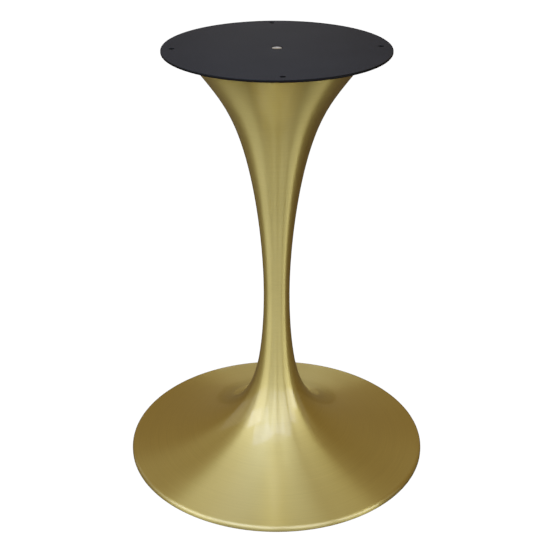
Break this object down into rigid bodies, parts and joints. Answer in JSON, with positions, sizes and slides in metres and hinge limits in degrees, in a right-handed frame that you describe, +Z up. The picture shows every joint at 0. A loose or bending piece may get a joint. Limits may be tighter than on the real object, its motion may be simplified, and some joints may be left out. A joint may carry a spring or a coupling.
{
  "type": "trumpet table base",
  "caption": "Trumpet-shaped pedestal for a table: spun brass-finish shell, narrow at the waist, with a wide round foot and a round steel plate on top for the tabletop.",
  "frame": {"origin": "on the floor, on the axis of the pedestal", "axes": "+Z up along the axis of the pedestal; the fixing holes of the plate lie on X and Y"},
  "size_m": [0.52, 0.52, 0.72],
  "materials": {
    "brushed_brass": "brushed round the axis",
    "black_powder_coat": "satin powder coat",
    "bright_zinc": "zinc plated",
    "bare_steel": "bare, welded in",
    "cast_iron": "black primer on the casting",
    "black_rubber": "matte"
  },
  "bodies": {
    "root": {"trumpet_shell": "brushed_brass", "mouth_disc": "bare_steel", "top_plate": "black_powder_coat", "centre_stud": "bright_zinc", "coupling_nut": "bright_zinc", "tie_rod": "bright_zinc", "foot_weight": "cast_iron", "washer": "bright_zinc", "spring_washer": "bright_zinc", "rod_nut": "bright_zinc", "floor_ring": "black_rubber"}
  },
  "joints": []
}
